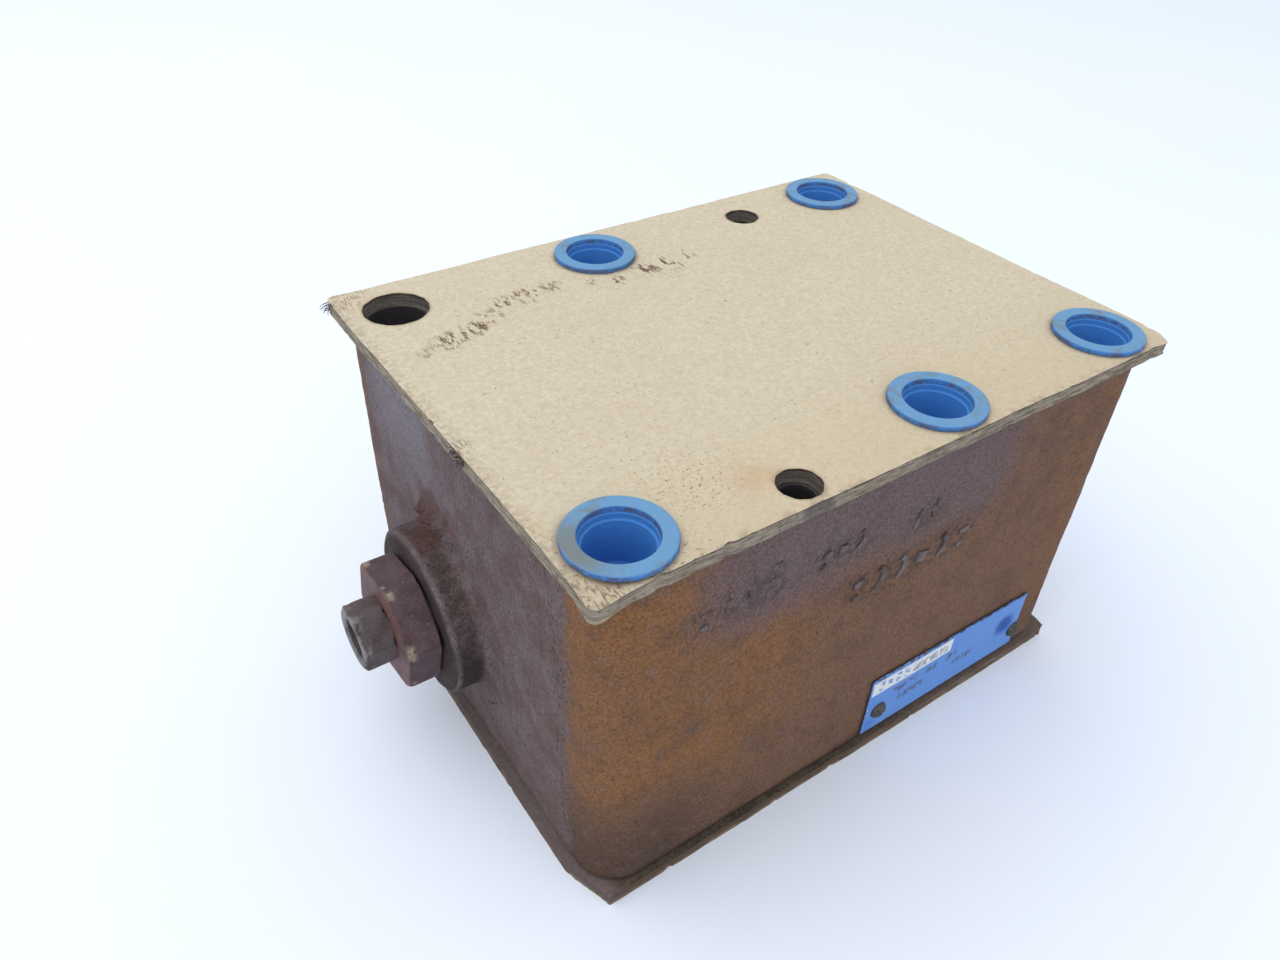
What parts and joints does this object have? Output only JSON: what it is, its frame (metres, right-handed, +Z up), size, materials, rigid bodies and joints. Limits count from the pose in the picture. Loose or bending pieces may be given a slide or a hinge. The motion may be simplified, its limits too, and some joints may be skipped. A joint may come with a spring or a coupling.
{
  "type": "hydraulic stack valve",
  "caption": "Cast-iron hydraulic stack valve: rectangular block with a screw adjuster on one end, a nameplate, hardboard covers and push-in caps.",
  "frame": {"origin": "on the plane that the part stands on, under the centre of the rectangle of the four corner bolts", "axes": "+X along the body away from the adjuster, -Y towards the nameplate side, +Z up through the port faces"},
  "size_m": [0.1768, 0.1161, 0.0979],
  "materials": {
    "cast_iron": "rusty cast surface, rough",
    "hardboard": "matt tan hardboard",
    "cap_plastic": "satin blue polyethylene",
    "nameplate_blue": "satin blue paint on thin sheet",
    "bonnet_steel": "dull oxide-coloured steel",
    "nut_steel": "dull dark phosphated steel",
    "dark_steel": "dark oxidised steel",
    "machined_steel": "ground steel",
    "spring_steel": "drawn spring wire",
    "seal_rubber": "black nitrile rubber"
  },
  "bodies": {
    "valve": {"valve_body": "cast_iron", "bonnet_plug": "bonnet_steel", "bonnet_o_ring": "seal_rubber", "pilot_seat": "machined_steel", "pilot_seat_o_ring": "seal_rubber", "main_spring": "spring_steel", "locating_pins": "machined_steel", "main_port_o_rings": "seal_rubber", "pilot_port_o_rings": "seal_rubber", "nameplate": "nameplate_blue", "nameplate_drive_screws": "dark_steel", "bottom_cover_board": "hardboard", "bottom_cover_caps": "cap_plastic"},
    "spring_guide": {"spring_guide": "machined_steel", "spring_guide_o_ring": "seal_rubber", "pilot_spring": "spring_steel"},
    "adjusting_screw": {"adjusting_screw": "dark_steel"},
    "lock_nut": {"lock_nut": "nut_steel"},
    "pilot_poppet": {"pilot_poppet": "machined_steel"},
    "main_spool": {"main_spool": "machined_steel", "damping_orifice": "dark_steel"},
    "top_cover": {"top_cover_board": "hardboard"},
    "top_cap_front_left": {"top_cap_front_left": "cap_plastic"},
    "top_cap_front_middle": {"top_cap_front_middle": "cap_plastic"},
    "top_cap_front_right": {"top_cap_front_right": "cap_plastic"},
    "top_cap_rear_middle": {"top_cap_rear_middle": "cap_plastic"},
    "top_cap_rear_right": {"top_cap_rear_right": "cap_plastic"}
  },
  "joints": [
    {"name": "adjuster_travel", "type": "slide", "parent": "valve", "child": "spring_guide", "axis": [1, 0, 0], "range_m": [-0.00317, 0.00317], "deforming": ["pilot_spring"]},
    {"name": "adjuster_turn", "type": "hinge", "parent": "spring_guide", "child": "adjusting_screw", "pos_m": [-0.08, 0.012, 0.0374], "axis": [1, 0, 0], "range_deg": [-720, 720]},
    {"name": "lock_nut_turn", "type": "hinge", "parent": "valve", "child": "lock_nut", "pos_m": [-0.08, 0.012, 0.0374], "axis": [1, 0, 0], "range_deg": [-360, 0]},
    {"name": "pilot_poppet_lift", "type": "slide", "parent": "valve", "child": "pilot_poppet", "axis": [1, 0, 0], "range_m": [-0.001, 0], "stiffness_N_per_m": 400, "springref_m": 0.002},
    {"name": "main_spool_slide", "type": "slide", "parent": "valve", "child": "main_spool", "axis": [1, 0, 0], "range_m": [-0.006, 0], "stiffness_N_per_m": 2000, "springref_m": 0.004, "deforming": ["main_spring"]},
    {"name": "top_cover_lift", "type": "slide", "parent": "valve", "child": "top_cover", "axis": [0, 0, 1], "range_m": [0, 0.025]},
    {"name": "top_cap_front_left_pull", "type": "slide", "parent": "top_cover", "child": "top_cap_front_left", "axis": [0, 0, 1], "range_m": [0, 0.015]},
    {"name": "top_cap_front_middle_pull", "type": "slide", "parent": "top_cover", "child": "top_cap_front_middle", "axis": [0, 0, 1], "range_m": [0, 0.015]},
    {"name": "top_cap_front_right_pull", "type": "slide", "parent": "top_cover", "child": "top_cap_front_right", "axis": [0, 0, 1], "range_m": [0, 0.015]},
    {"name": "top_cap_rear_middle_pull", "type": "slide", "parent": "top_cover", "child": "top_cap_rear_middle", "axis": [0, 0, 1], "range_m": [0, 0.015]},
    {"name": "top_cap_rear_right_pull", "type": "slide", "parent": "top_cover", "child": "top_cap_rear_right", "axis": [0, 0, 1], "range_m": [0, 0.015]}
  ],
  "couplings": [
    {"joint": "adjuster_turn", "follows": "adjuster_travel", "rad_per_m": 3957.9}
  ]
}
